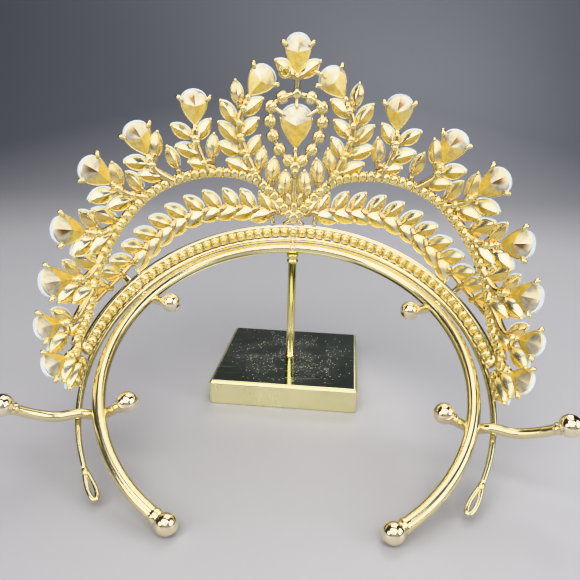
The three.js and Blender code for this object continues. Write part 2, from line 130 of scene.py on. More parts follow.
def wire(path, radius, sides=12, upward=(0, 0, 1), flat=1.0, closed=False, paintedShade=0.0):
    path = np.asarray(path, float)
    count = len(path)
    radius = np.broadcast_to(np.asarray(radius, float), (count,))
    paintedShade = np.broadcast_to(np.asarray(paintedShade, float), (count,))
    way = np.roll(path, -1, 0) - np.roll(path, 1, 0) if closed else np.gradient(path, axis=0)
    way /= np.linalg.norm(way, axis=1)[:, None]
    normal = np.array(upward, float) - way * (way @ np.array(upward, float))[:, None]
    normal /= np.linalg.norm(normal, axis=1)[:, None]
    beside = np.cross(way, normal)
    turn = np.arange(sides) * 2 * math.pi / sides
    up, aside = np.cos(turn)[None, :, None] * flat, np.sin(turn)[None, :, None]
    ring = up * normal[:, None] + aside * beside[:, None]
    points = (path[:, None] + ring * radius[:, None, None]).reshape(-1, 3)
    faces = grid(count, sides, True)
    last = (count - 1) * sides
    if closed:
        faces += [(last + k, last + (k + 1) % sides, (k + 1) % sides, k) for k in range(sides)]
    else:
        faces += [tuple(range(sides))[::-1], tuple(last + k for k in range(sides))]
    return points, faces, np.repeat(paintedShade, sides)


def roundEnds(radius, count, share=0.12):
    t = np.linspace(0, 1, count)
    edge = np.clip(np.minimum(t, 1 - t) / share, 0, 1)
    return radius * np.maximum(np.sqrt(1 - (1 - edge) ** 2), 0.12)


def power(value, exponent):
    return np.sign(value) * np.abs(value) ** exponent


# a rounded lump: inward and outward are its depths, square its fullness, and the last value how much painted
# shade sits round its middle
def pebble(length, width, inward, outward, square=2.0, sides=16, rings=8, middleShade=0.5):
    around = np.arange(sides) * 2 * math.pi / sides
    rise = np.linspace(-math.pi / 2, math.pi / 2, rings + 1)[1:-1]
    bluntness = 2 / square
    points, paintedShade = [], []
    for angle in rise:
        depth = inward if angle > 0 else outward
        reach = math.cos(angle) ** bluntness
        points.append(np.column_stack([
            length / 2 * reach * power(np.cos(around), bluntness),
            width / 2 * reach * power(np.sin(around), bluntness),
            np.full(sides, depth * float(power(math.sin(angle), bluntness))),
        ]))
        fall = 1.4 if angle > 0 else 2.2  # painted shade, deepest round the middle
        fade = 1 - abs(math.sin(angle)) * fall
        paintedShade.append(np.full(sides, middleShade * max(0.0, fade)))
    points += [np.array([[0, 0, -outward]]), np.array([[0, 0, inward]])]
    paintedShade += [np.array([0.0]), np.array([0.0])]
    last, low = (len(rise) - 1) * sides, len(rise) * sides
    faces = grid(len(rise), sides, True)
    faces += [(low, (k + 1) % sides, k) for k in range(sides)]
    faces += [(low + 1, last + k, last + (k + 1) % sides) for k in range(sides)]
    return np.vstack(points), faces, np.concatenate(paintedShade)


def sheet(rows, marks):
    return np.vstack(rows), grid(len(rows), len(rows[0]), False), np.concatenate(marks)


def loft(rings):
    count = len(rings[0])
    points = np.vstack(rings + [rings[0].mean(0, keepdims=True), rings[-1].mean(0, keepdims=True)])
    faces = grid(len(rings), count, True)
    first, last = len(rings) * count, (len(rings) - 1) * count
    faces += [(first, (k + 1) % count, k) for k in range(count)]
    faces += [(first + 1, last + k, last + (k + 1) % count) for k in range(count)]
    return points, faces, np.zeros(len(points))


def merged(shapes):
    points, faces, marks, start = [], [], [], 0
    for p, f, m in shapes:
        points.append(p)
        marks.append(m)
        faces += [tuple(start + i for i in face) for face in f]
        start += len(p)
    return np.vstack(points), faces, np.concatenate(marks)


def moved(shape, by, turn=0.0):
    points, faces, marks = shape
    c, s = math.cos(turn), math.sin(turn)
    x, y, z = points.T
    return np.column_stack([x * c - y * s, x * s + y * c, z]) + np.array(by, float), faces, marks


def laid(shape, x, y, heading, side=1, scale=1.0, lift=0.0):
    points, faces, marks = moved((shape[0] * scale, shape[1], shape[2]), (x, y, lift), heading)
    return mirrored((points, faces, marks), side)


def mirrored(shape, side):
    points, faces, marks = shape
    if side > 0:
        return points, faces, marks
    return points * np.array([-1, 1, 1]), [f[::-1] for f in faces], marks


class Piece:
    def __init__(self, name, slot, materials):
        self.name, self.slot, self.materials = name, slot, materials
        self.points, self.faces, self.marks = [], [], []
        self.kinds, self.soft, self.count = [], [], 0

    def add(self, shape, kind=0, place=bend, smooth=True):
        points, faces, marks = shape
        self.points.append(place(points))
        clean = np.zeros(len(points))
        self.marks.append(marks if np.ndim(marks) == 2 else np.column_stack([marks, clean]))
        self.faces += [tuple(self.count + i for i in f) for f in faces]
        self.kinds += [kind] * len(faces) if np.ndim(kind) == 0 else list(kind)
        self.soft += [smooth] * len(faces)
        self.count += len(points)

    def make(self, *nodes):
        mesh = bpy.data.meshes.new(self.name)
        mesh.from_pydata(np.vstack(self.points).tolist(), [], self.faces)
        mesh.polygons.foreach_set("material_index", self.kinds)
        mesh.polygons.foreach_set("use_smooth", self.soft)
        for column, label in enumerate(("paintedShade", "paintedDark")):
            layer = mesh.attributes.new(label, "FLOAT", "POINT")
            layer.data.foreach_set("value", np.vstack(self.marks)[:, column].astype(np.float32))
        for material in self.materials:
            mesh.materials.append(material)
        mesh.update()
        made = bpy.data.objects.new(self.name, mesh)
        bpy.context.scene.collection.objects.link(made)
        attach(made, "root")
        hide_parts(*nodes)
        print(self.name, "has", len(self.faces), "faces")


# shader groups
def startGroup(name, inputs, outputs):
    tree = bpy.data.node_groups.new(name, "ShaderNodeTree")
    for way, sockets in (("INPUT", inputs), ("OUTPUT", outputs)):
        for label, kind in sockets:
            tree.interface.new_socket(label, in_out=way, socket_type="NodeSocket" + kind)
    return tree, tree.nodes.new("NodeGroupInput").outputs, tree.nodes.new("NodeGroupOutput").inputs


def node(tree, kind, links=(), **settings):
    made = tree.nodes.new("ShaderNode" + kind)
    for key, value in settings.items():
        setattr(made, key, value)
    for socket, value in dict(links).items():
        target = made.inputs[socket]
        if isinstance(value, bpy.types.NodeSocket):
            tree.links.new(value, target)
        else:
            target.default_value = value
    return made


def spread(tree, value, low, high, toLow=0.0, toHigh=1.0):
    links = {"Value": value, "From Min": low, "From Max": high, "To Min": toLow, "To Max": toHigh}
    return node(tree, "MapRange", links).outputs["Result"]


def blended(tree, factor, first, second):
    made = node(tree, "Mix", data_type="RGBA")
    for socket, value in ((0, factor), (6, first), (7, second)):
        if isinstance(value, bpy.types.NodeSocket):
            tree.links.new(value, made.inputs[socket])
        else:
            made.inputs[socket].default_value = value
    return made.outputs[2]


def noise(tree, where, scale, detail, roughness=0.5):
    links = {"Vector": where, "Scale": scale, "Detail": detail, "Roughness": roughness}
    return node(tree, "TexNoise", links).outputs["Fac"]


def maths(tree, operation, *values, clamp=False):
    return node(tree, "Math", dict(enumerate(values)), operation=operation, use_clamp=clamp).outputs[0]


def mark(tree, name):
    return node(tree, "Attribute", attribute_name=name).outputs["Fac"]


def platingGroup():
    tree, given, out = startGroup("gilt plating", [
        ("Open", "Color"), ("Warm", "Color"), ("Painted shade", "Color"),
        ("Smooth", "Float"), ("Hazy", "Float"), ("Grain", "Float"),
    ], [("Color", "Color"), ("Roughness", "Float"), ("Height", "Float")])
    # colour of the painted dark lines and wedges of shade
    paintedDarkColour = (0.10, 0.045, 0.012, 1)
    spot = node(tree, "TexCoord").outputs["Object"]
    clouds = noise(tree, spot, 55.0, 3.0)
    grain = noise(tree, spot, given["Grain"], 4.0, 0.6)
    pits = node(tree, "TexVoronoi", {"Vector": spot, "Scale": 900.0}).outputs["Distance"]
    tone = blended(tree, spread(tree, clouds, 0.38, 0.66), given["Open"], given["Warm"])
    # painted shade: the first mark lays the shade colour into corners, creases and gaps, the second paints
    # dark lines of shade
    withShade = blended(tree, mark(tree, "paintedShade"), tone, given["Painted shade"])
    tree.links.new(blended(tree, mark(tree, "paintedDark"), withShade, paintedDarkColour), out["Color"])
    rough = spread(tree, clouds, 0.35, 0.7, given["Smooth"], given["Hazy"])
    speck = spread(tree, pits, 0.0, 0.12, 0.18, 0.0)
    tree.links.new(maths(tree, "ADD", rough, speck), out["Roughness"])
    tree.links.new(grain, out["Height"])
    return tree


def dustGroup():
    tree, given, out = startGroup("dust and hairlines", [
        ("Specks", "Float"), ("Amount", "Float"), ("Hairlines", "Float"), ("Reach", "Float"),
    ], [("Mask", "Float"), ("Height", "Float")])
    spot = node(tree, "TexCoord").outputs["Object"]
    away = node(tree, "VectorMath", {0: spot}, operation="LENGTH").outputs["Value"]
    near = spread(tree, away, 0.008, given["Reach"], 1.0, 0.04)
    drift = noise(tree, spot, 90.0, 3.0)
    heaped = maths(tree, "MULTIPLY", near, spread(tree, drift, 0.38, 0.62))
    settled = maths(tree, "MULTIPLY", heaped, given["Amount"])
    cells = node(tree, "TexVoronoi", {"Vector": spot, "Scale": given["Specks"], "Randomness": 1.0})
    chance = node(tree, "SeparateColor", {"Color": cells.outputs["Color"]}).outputs[0]
    present = maths(tree, "LESS_THAN", chance, settled)
    dot = spread(tree, cells.outputs["Distance"], 0.12, 0.34, 1.0, 0.0)
    specks = maths(tree, "MULTIPLY", present, dot)
    lines = []
    for turn in (0.5, -0.9):
        stretch = {"Vector": spot, "Rotation": (0, 0, turn), "Scale": (60, 1400, 60)}
        fine = noise(tree, node(tree, "Mapping", stretch).outputs[0], 1.0, 1.0)
        lines.append(spread(tree, fine, 0.70, 0.78))
    faint = maths(tree, "MULTIPLY", maths(tree, "MAXIMUM", *lines), given["Hairlines"])
    haze = maths(tree, "MULTIPLY_ADD", heaped, 0.14, faint)
    tree.links.new(maths(tree, "MAXIMUM", specks, haze), out["Mask"])
    tree.links.new(specks, out["Height"])
    return tree


plating, dusting = platingGroup(), dustGroup()


def newMaterial(name):
    made = bpy.data.materials.new(name)
    made.use_nodes = True
    return made, made.node_tree, made.node_tree.nodes["Principled BSDF"]


def giltMaterial(name, values, bump):
    made, tree, shader = newMaterial(name)
    group = node(tree, "Group", node_tree=plating)
    for label, value in values.items():
        group.inputs[label].default_value = value
    tree.links.new(group.outputs["Color"], shader.inputs["Base Color"])
    tree.links.new(group.outputs["Roughness"], shader.inputs["Roughness"])
    shader.inputs["Metallic"].default_value = 1.0
    raised = node(tree, "Bump", {"Height": group.outputs["Height"], "Strength": bump, "Distance": 0.0002})
    tree.links.new(raised.outputs[0], shader.inputs["Normal"])
    return made


# each gilt's third colour is painted shade for corners, creases and gaps between parts; on the leaf gilt it
# is the amber of a leaf's shaded half
castGilt = giltMaterial("cast gilt", {
    "Open": (0.94, 0.84, 0.50, 1), "Warm": (0.89, 0.76, 0.36, 1), "Painted shade": (0.36, 0.20, 0.05, 1),
    "Smooth": 0.17, "Hazy": 0.32, "Grain": 800.0}, bump=0.3)
leafGilt = giltMaterial("leaf gilt", {
    "Open": (0.98, 0.93, 0.72, 1), "Warm": (0.95, 0.86, 0.55, 1), "Painted shade": (0.84, 0.62, 0.18, 1),
    "Smooth": 0.2, "Hazy": 0.33, "Grain": 700.0}, bump=0.06)
wireGilt = giltMaterial("drawn gilt", {
    "Open": (0.82, 0.755, 0.53, 1), "Warm": (0.76, 0.685, 0.42, 1), "Painted shade": (0.45, 0.30, 0.09, 1),
    "Smooth": 0.09, "Hazy": 0.2, "Grain": 500.0}, bump=0.05)
standGilt = giltMaterial("stand gilt", {
    "Open": (0.89, 0.82, 0.56, 1), "Warm": (0.83, 0.74, 0.45, 1), "Painted shade": (0.42, 0.31, 0.12, 1),
    "Smooth": 0.12, "Hazy": 0.24, "Grain": 350.0}, bump=0.06)
postGilt = giltMaterial("post gilt", {
    "Open": (0.90, 0.81, 0.40, 1), "Warm": (0.84, 0.73, 0.29, 1), "Painted shade": (0.40, 0.28, 0.07, 1),
    "Smooth": 0.14, "Hazy": 0.26, "Grain": 300.0}, bump=0.03)
ballGilt = giltMaterial("ball gilt", {
    "Open": (0.97, 0.89, 0.71, 1), "Warm": (0.94, 0.82, 0.59, 1), "Painted shade": (0.45, 0.28, 0.14, 1),
    "Smooth": 0.07, "Hazy": 0.16, "Grain": 300.0}, bump=0.03)


def foilMaterial(name, colours):
    made, tree, shader = newMaterial(name)
    share = mark(tree, "paintedShade")  # how far a facet leans to amber, the painted shade; pale facets are painted as lit
    # painted dark wedge of shade
    paintedDark = mark(tree, "paintedDark")
    spot = node(tree, "TexCoord").outputs["Object"]
    mottle = noise(tree, spot, 260.0, 3.0)
    shifted = maths(tree, "MULTIPLY_ADD", mottle, 0.5, -0.25)
    amberShare = maths(tree, "ADD", share, shifted, clamp=True)
    streaks = noise(tree, spot, 420.0, 4.0, 0.65)
    silver = blended(tree, spread(tree, streaks, 0.42, 0.64, 0.0, 0.8), colours["pale"], colours["grey"])
    gold = blended(tree, spread(tree, streaks, 0.44, 0.7, 0.0, 0.75), colours["amber"], colours["honey"])
    facet = blended(tree, amberShare, silver, gold)
    tree.links.new(blended(tree, paintedDark, facet, colours["dark"]), shader.inputs["Base Color"])
    tree.links.new(spread(tree, mottle, 0.3, 0.7, 0.36, 0.55), shader.inputs["Roughness"])
    shader.inputs["Metallic"].default_value = 1.0
    raised = node(tree, "Bump", {"Height": mottle, "Strength": 0.08, "Distance": 0.0003})
    tree.links.new(raised.outputs[0], shader.inputs["Normal"])
    return made


# pale and grey paint the lit facets, amber and honey the shaded ones, dark the painted wedge of shade
pearFoil = foilMaterial("pear foil", {
    "pale": (0.66, 0.63, 0.54, 1), "grey": (0.36, 0.34, 0.30, 1),
    "amber": (1.0, 0.81, 0.27, 1), "honey": (0.84, 0.53, 0.11, 1), "dark": (0.11, 0.05, 0.022, 1)})


def crystalMaterial(name, cool, clear, smooth, hazy, through):
    made, tree, shader = newMaterial(name)
    spot = node(tree, "TexCoord").outputs["Object"]
    smear = noise(tree, spot, 180.0, 3.0)
    tree.links.new(spread(tree, smear, 0.45, 0.75, smooth, hazy), shader.inputs["Roughness"])
    tree.links.new(blended(tree, smear, cool, clear), shader.inputs["Base Color"])
    shader.inputs["Transmission Weight"].default_value = through
    shader.inputs["IOR"].default_value = 1.54
    return made


crystal = crystalMaterial("clear crystal", (0.93, 0.97, 1, 1), (1, 1, 1, 1),
                          smooth=0.01, hazy=0.05, through=0.92)
# painted highlight: the crystal's girdle band is milky white-blue so its rim reads bright
brightRim = crystalMaterial("milky rim painted bright", (0.74, 0.87, 1, 1), (0.95, 0.98, 1, 1),
                         smooth=0.12, hazy=0.3, through=0.3)


def baseMaterial(name, bright, dull, smooth, hazy, dust):
    made, tree, shader = newMaterial(name)
    spot = node(tree, "TexCoord").outputs["Object"]
    patches = noise(tree, spot, 38.0, 4.0)
    group = node(tree, "Group", node_tree=dusting)
    for label, value in dust.items():
        group.inputs[label].default_value = value
    dusty = group.outputs["Mask"]
    metal = blended(tree, spread(tree, patches, 0.35, 0.7), bright, dull)
    tree.links.new(blended(tree, dusty, metal, (0.72, 0.69, 0.58, 1)), shader.inputs["Base Color"])
    hazed = spread(tree, patches, 0.35, 0.72, smooth, hazy)
    rough = maths(tree, "MULTIPLY_ADD", dusty, 0.5, hazed, clamp=True)
    tree.links.new(rough, shader.inputs["Roughness"])
    tree.links.new(spread(tree, dusty, 0.0, 1.0, 1.0, 0.2), shader.inputs["Metallic"])
    raised = node(tree, "Bump", {"Height": group.outputs["Height"], "Strength": 0.15, "Distance": 0.0002})
    tree.links.new(raised.outputs[0], shader.inputs["Normal"])
    return made


# painted reflection: the mirror top is tinted dark as if it reflected dark surroundings; its dust specks and
# hairlines are its own
mirrorTop = baseMaterial("mirror top", (0.34, 0.36, 0.29, 1), (0.26, 0.28, 0.23, 1), 0.03, 0.10, {
    "Specks": 1250.0, "Amount": 0.85, "Hairlines": 0.22, "Reach": 0.036})
plainSide = baseMaterial("base side", (0.90, 0.855, 0.52, 1), (0.83, 0.77, 0.46, 1), 0.24, 0.36, {
    "Specks": 1250.0, "Amount": 0.02, "Hairlines": 0.2, "Reach": 0.2})
print("materials ready")


# stones: gold foil backs with the clear crystal standing proud in front of them
pear = {
    "length": 14.4, "width": 11.0, "crown": 3.2, "foilDepth": 2.5, "culet": 0.54,
    "shoulder": 108, "ear": 116, "foilLength": 0.93, "foilWidth": 0.95,
    "rows": (0.02, 0.12, 0.25, 0.4, 0.6, 0.8, 0.94, 1.0, 1.0),  # from the culet to the rim
    "waist": [(0.56, -1.0), (0.8, -0.74), (0.99, -0.42), (1.0, -0.07), (0.9, -0.05)],  # width and depth
}
leaf = {
    "length": 10.6, "width": 5.5, "back": 1.75, "crown": 1.9, "proud": 0.75,
    "rows": (0.0, 0.06, 0.25, 0.45, 0.65, 0.85, 1.0, 1.0),  # from the spine to the rim
    "waist": [(0.55, -1.0), (0.9, -0.74), (1.12, -0.5), (1.12, -0.2), (0.9, -0.18)],
}


def pearEdge(length, width, start, end, count):
    turn = np.radians(np.linspace(start, end, count))
    bulge = np.sin(turn) * np.sin(np.abs(turn) / 2) / 0.7698  # 1 at the widest place
    return np.column_stack([length * (1 - np.cos(turn)) / 2, width / 2 * bulge, np.zeros(count)])


def pearFacet(length, width, start, end, spot, warm):
    count = 15
    middle = np.array([length * pear["culet"], 0, 0])
    edge = pearEdge(length, width, start, end, count) - middle
    chord = np.linspace(edge[0], edge[-1], count)
    # painted light: facets facing the warm way are painted amber as shade, deeper towards the point, and the
    # rest pale as lit
    facing = math.atan2(edge[count // 2][1], edge[count // 2][0]) - math.radians(warm)
    amberShare = min(max(0.5 + 0.8 * math.cos(facing), 0.06), 1.0)
    across = np.linspace(0, 1, count)
    shade = 0.85 * np.clip(2.9 - 4.6 * across, 0, 1) + 0.15 * (across < 0.08)  # painted shade, darkest beside one ridge
    depth = pear["foilDepth"] * width / pear["width"]
    rows, marks = [], []
    for out in pear["rows"]:
        flat = out * (chord * (1 - out**2) + edge * out**2)
        rows.append(middle + flat + (0, 0, depth * (1 - out**1.2) + 0.15))
        share = np.clip(rows[-1][:, 0] / length, 0, 1)
        amber = amberShare * (0.75 + 0.25 * (1 - share))
        wedge = spot * shade * min(1.0, 2.6 * (1 - out))
        marks.append(np.column_stack([np.maximum(amber, 0.6 * wedge), wedge]))
    rows[-1] = rows[-1] * (1, 1, 0) - (0, 0, 0.1)  # the rim turns down into its setting
    return sheet(rows[::-1], marks[::-1])


def pearStone(length, width, warm, spot, shoulder):
    spans = ((-shoulder, 0, 0), (0, shoulder, 0), (shoulder, 180, 0), (-180, -shoulder, spot))
    foilSize = length * pear["foilLength"], width * pear["foilWidth"]
    foil = [moved(pearFacet(*foilSize, *span, warm), (0.3, 0, 0)) for span in spans]
    middle = np.array([length * pear["culet"], 0, 0])
    edge = pearEdge(length, width, -180, 180, 25)[:-1] - middle
    crown = pear["crown"] * width / pear["width"]
    glass = loft([middle + edge * out + (0, 0, crown * deep) for out, deep in pear["waist"]])
    return foil, glass


def navetteEdge(length, width, hand, count):
    bow = (length**2 / 4 + width**2 / 4) / width
    along = length * (1 - np.cos(np.linspace(0.12, math.pi - 0.12, count))) / 2
    half = np.sqrt(np.maximum(bow**2 - (along - length / 2) ** 2, 0)) - (bow - width / 2)
    return np.column_stack([along, hand * half, np.zeros(count)])


def navetteStone():
    length, width = leaf["length"], leaf["width"]
    middle = np.array([length / 2, 0, 0])
    halves = []
    for hand in (-1, 1):
        edge = navetteEdge(length, width, hand, 15)
        part = edge[:, 0] / length
        rise = leaf["back"] * np.sin(math.pi * part**0.8) ** 0.75
        spine = 0.75 * np.clip(5 * part * (1 - part), 0, 1)  # painted shade: a dark line along the middle
        rows, marks = [], []
        for out in leaf["rows"]:
            rows.append(np.column_stack([edge[:, 0], edge[:, 1] * out, rise * (1 - out**1.35) + 0.05]))
            line = spine if out == 0 else 0 * part
            # painted shade: amber near the foot, where the leaf meets its socket
            marks.append(np.column_stack([np.clip(0.7 - 1.7 * part, 0, 1), line]))
        rows[-1] = rows[-1] - (0, 0, 0.5)
        if hand < 0:
            rows, marks = rows[::-1], marks[::-1]
        halves.append(sheet(rows, marks))
    near, far = (navetteEdge(length, width, hand, 9) for hand in (-1, 1))
    edge = np.vstack([near, far[::-1]]) - middle
    glass = loft([middle + edge * out + (0, 0, leaf["crown"] * deep) for out, deep in leaf["waist"]])
    return halves, glass


def crystalKinds(glass, clear):
    count = (len(glass[0]) - 2) // 5  # points in each of the five rings
    return [clear] * 2 * count + [clear + 1] * 2 * count + [clear] * 2 * count


navette = navetteStone()


# settings
def pearSetting(length, width, eared):
    shapes = [moved(pebble(2.8, 2.2, 1.1, 0.9, square=2.2, sides=12, rings=6, middleShade=0.4), (-0.6, 0, 0.1))]
    earSteps = ((-0.9, -0.5, 0.3), (0, 0.2, 0.5), (0.6, 0.9, 0.3), (0.9, 1.2, -0.7))
    for hand in (-1, 1):
        rail = pearEdge(length, width, 4, pear["ear"], 16) * np.array([1, hand, 1]) - (0, 0, 0.1)
        shapes.append(wire(rail, roundEnds(0.3, 16, 0.1), 8, paintedShade=0.15))
        if eared:
            ear = smoothLine([rail[-1] + (x, y * hand, z) for x, y, z in earSteps], 10)
            shapes.append(wire(ear, roundEnds(0.9, 10, 0.2), 10, paintedShade=0.05))
    return merged(shapes)


def leafSetting():
    length = leaf["length"]
    run = smoothLine([(-1.4, 0, -0.1), (0, 0, 0), (1.3, 0, 0.15), (2.5, 0, 0.35), (3.8, 0, 0.5)], 9)
    thick = np.interp(np.linspace(0, 1, 9), (0, 0.4, 0.65, 1), (1.05, 1.4, 1.3, 0.3))
    socket = wire(run, thick, 10, paintedShade=0.5)
    clawSteps = ((-1.8, -0.6), (-0.5, -0.1), (0.3, 0.2), (0.6, 0.4))  # past the leaf's tip, and inward
    claw = smoothLine([(length + past, 0, inward) for past, inward in clawSteps], 9)
    knob = moved(pebble(1.6, 1.5, 0.7, 0.7, sides=10, rings=6, middleShade=0.0), (length + 0.2, 0, 0.3))
    rims = [wire(navetteEdge(length, leaf["width"], hand, 13) + (0, 0, 0.02), 0.27, 6) for hand in (-1, 1)]
    return merged([socket, wire(claw, roundEnds(0.55, 9, 0.2), 7, paintedShade=0.1), knob, *rims])


navetteMetal = leafSetting()
cupNub = pebble(0.9, 0.9, 0.55, 0.4, sides=8, rings=4, middleShade=0.1)
archCup = merged([
    pebble(3.75, 4.4, 1.75, 0.9, square=2.7, sides=20, middleShade=0.7),
    *[moved(cupNub, (1.75, hand * 1.8, 0.55)) for hand in (-1, 1)],
])
bandCup = merged([
    pebble(4.3, 4.9, 1.6, 1.2, square=2.5, sides=20, middleShade=0.8),
    moved(pebble(3.3, 3.9, 2.5, 0.4, square=2.1, rings=7, middleShade=0.25), (0, -0.2, 0)),
])
stemLump = pebble(3.9, 3.4, 2.1, 0.9, square=2.2, sides=14, rings=7, middleShade=0.55)
ovalCup = pebble(5.2, 5.4, 1.5, 1.3, square=2.4, sides=24, middleShade=0.95)

# lines of the flat layout
arch = {
    "points": [
        (0, 8.7), (9, 20), (18, 27.2), (32, 30.2), (47, 29), (62, 23.5),
        (76, 12.5), (88.4, -2.3), (98, -20.2), (102.6, -24.9), (107, -29.1),
    ],
    "start": 0.02, "split": 0.186, "pitch": 3.4,  # the centre motif holds the part up to the split
}
garland = {
    "points": [(6.6, 12), (20, 14.2), (36, 14.5), (50, 11), (64, 3.2), (78, -7.3), (94.5, -16.6)],
    "pitch": 1 / 12.8,
    "rows": [
        {"count": 12, "start": 0.5, "turn": 50, "length": 10.6, "lift": 0.1, "broad": 1.0},
        {"count": 9, "start": 0.4, "turn": -27, "length": 10.9, "lift": 0.35, "broad": 1.12},
    ],
}
archLine = smoothLine(arch["points"], 241)
garlandLine = smoothLine(garland["points"], 161)


def pointing(angle):
    return np.array([math.cos(angle), math.sin(angle)])


def headingOf(line, index):
    step = line[min(index + 1, len(line) - 1)] - line[max(index - 1, 0)]
    return math.atan2(step[1], step[0])


def nearest(lines, spot):
    every = np.vstack([line[:, :2] for line in lines])
    return every[np.argmin(np.linalg.norm(every - np.array(spot), axis=1))]


# every spray: stone point, heading and size, its root on the arch, the strength of its painted dark wedge of
# shade, and its leaves from foot to tip
sprays = [
    {"x": 42.3, "y": 49.6, "heading": 90, "size": 1, "root": 0.326, "spot": 1.0,
     "leaves": [(44.1, 44.9, 52.3, 49.9), (40.8, 37.8, 50.8, 41.4), (36.3, 32.9, 45.8, 34.9),
                (41.3, 44.1, 35.8, 52.1), (35.3, 35.8, 34.6, 46.4)]},
    {"x": 62.4, "y": 38.3, "heading": 67, "size": 1, "root": 0.433, "spot": 1.0,
     "leaves": [(59.6, 37.3, 57.9, 47.6), (50.4, 32.8, 54.4, 41.8),
                (62.4, 34.8, 72.4, 36.1), (56.9, 29.6, 66.9, 30.8)]},
    {"x": 78.2, "y": 28.3, "heading": 39, "size": 1, "root": 0.531, "spot": 1.0,
     "leaves": [(74.7, 26.5, 77.4, 36.5), (65.7, 24.8, 72.0, 32.5),
                (78.0, 25.0, 88.4, 22.5), (70.7, 21.5, 81.2, 19.0)]},
    {"x": 91.2, "y": 11.0, "heading": 12.6, "size": 1, "root": 0.633, "spot": 1.0,
     "leaves": [(86.5, 11.8, 93.0, 19.5), (78.2, 14.0, 88.0, 18.8),
                (89.2, 8.5, 99.0, 3.0), (81.2, 9.2, 91.4, 2.5)]},
    {"x": 100.5, "y": -5.6, "heading": 4.5, "size": 1, "root": 0.736, "spot": 0.55,
     "leaves": [(97.2, -5.3, 103.4, 2.0), (88.7, -2.3, 98.7, 2.7),
                (99.2, -7.8, 109.5, -12.8), (92.7, -10.3, 103.2, -14.3)]},
    {"x": 110.6, "y": -20.2, "heading": 4, "size": 0.82, "root": 0.838, "spot": 0.25,
     "leaves": [(105.5, -20.5, 113.2, -14.5), (109.5, -24.2, 119.4, -28.5), (100.6, -20.5, 109.6, -25.0)]},
    {"x": 113.2, "y": -32.4, "heading": -5, "size": 0.82, "root": 0.98, "spot": 0.2,
     "leaves": [(109.6, -33.6, 118.9, -40.1), (107.6, -36.0, 117.6, -43.1)]},
]
branch = {
    "points": [(15, 25.5), (19.5, 34), (23, 43), (23.8, 51), (20.6, 59.8)],
    "leaves": [
        (24, 58, 25.5, 67.5), (25.7, 51, 31.7, 59.5), (25.5, 43.8, 32.7, 51), (23.5, 38, 33, 42),
        (19.5, 30.5, 29.5, 35.2), (22.5, 54, 14, 60.5), (22.7, 45.8, 15.7, 52.5), (19.8, 37.5, 15, 45.5),
        (15.2, 31.0, 13.7, 40.8), (10, 25.2, 9, 36.5), (4.4, 19.6, 4, 31.2),
    ],
}
branchLine = smoothLine(branch["points"], 61)


def addWire(piece, path, radius, sides, side=1, paintedShade=0.0):
    piece.add(mirrored(wire(path, radius, sides, paintedShade=paintedShade), side))


def addLeaf(piece, foot, tip, side, grows=None, lift=0.0, broad=1.0):
    foot, tip = np.array(foot, float), np.array(tip, float)
    heading = math.atan2(tip[1] - foot[1], tip[0] - foot[0])
    ahead = pointing(heading)
    beside = np.array([-ahead[1], ahead[0]])
    foot = foot - 0.5 * ahead
    scale = np.linalg.norm(tip - foot) / (leaf["length"] + 0.4) * np.array([1, broad, 1])
    high, low = bend([np.append(foot + 5 * ahead + hand * beside, 0) for hand in (1, -1)])
    upward = (high[2] - low[2]) / (2 * mm)  # 1 where the leaf's first half is the upper one
    for hand, (points, faces, marks) in zip((-1, 1), navette[0]):
        # painted light: the upper half is painted pale as lit, the lower half amber as shade
        halfShade = np.column_stack([np.clip(marks[:, 0] + 0.4 - 0.6 * hand * upward, 0, 1), marks[:, 1]])
        piece.add(laid((points, faces, halfShade), *foot, heading, side, scale, lift), 1)
    proud = foot + leaf["proud"] * upward * beside
    piece.add(laid(navette[1], *proud, heading, side, scale, lift), crystalKinds(navette[1], 2), smooth=False)
    piece.add(laid(navetteMetal, *foot, heading, side, scale, lift))
    if grows is not None:
        root = nearest(grows, foot)
        if np.linalg.norm(root - foot) > 0.4:
            run = np.linspace(np.append(root, -0.1), np.append(foot, lift), 6)
            addWire(piece, run, np.linspace(1.45, 1.2, 6), 10, side, paintedShade=0.55)
            piece.add(laid(stemLump, *root, heading, side))


def addChain(piece, line, start, end, side):
    last = len(line) - 1
    part = line[int(start * last):int(end * last) + 1]
    count = max(2, round(lengthOf(part) / arch["pitch"]))
    even = evenly(part, 2 * count + 1)
    addWire(piece, lifted(even, -0.3), 1.5, 8, side, paintedShade=0.9)  # painted shade: a dark wire between the cups
    addWire(piece, lifted(even, -0.5), 1.52, 12, side)  # bright back of the chain
    for i in range(1, 2 * count, 2):
        piece.add(laid(archCup, even[i][0], even[i][1], headingOf(even, i), side))


stones = Piece("pear_stones", "foiled_stone", [pearFoil, crystal, brightRim])


# a pear in its setting: warm is the way its amber facets face, amber being painted shade and the other facets
# painted pale as lit, and spot the strength of its painted dark wedge of shade
def addPear(piece, x, y, heading, side, length, width, warm, spot, shoulder=pear["shoulder"], eared=True):
    turn = math.radians(heading)
    piece.add(laid(pearSetting(length, width, eared), x, y, turn, side))
    foil, glass = pearStone(length, width, warm, spot, shoulder)
    for facet in foil:
        stones.add(laid(facet, x, y, turn, side))
    stones.add(laid(glass, x, y, turn, side), crystalKinds(glass, 1), smooth=False)


# band: rail with an eye at each end, a row of cups and the strip over them
band = {
    "railEnd": 119, "end": 84, "railTip": 0.95, "taper": 30, "cups": 57, "cupLevel": 3.75, "stripLevel": 5.9,
    "eyeHalf": 5.7, "eyeWide": 1.62, "eyeTurn": math.radians(65),
}


def onBand(height, degrees):
    turn = np.radians(degrees) * math.sin(flare["angle"])
    return (slant + height) * np.sin(turn), (slant + height) * np.cos(turn) - slant, turn


def level(height, end, count):
    across, up, _ = onBand(height, np.linspace(-end, end, count))
    return np.column_stack([across, up, np.zeros(count)])


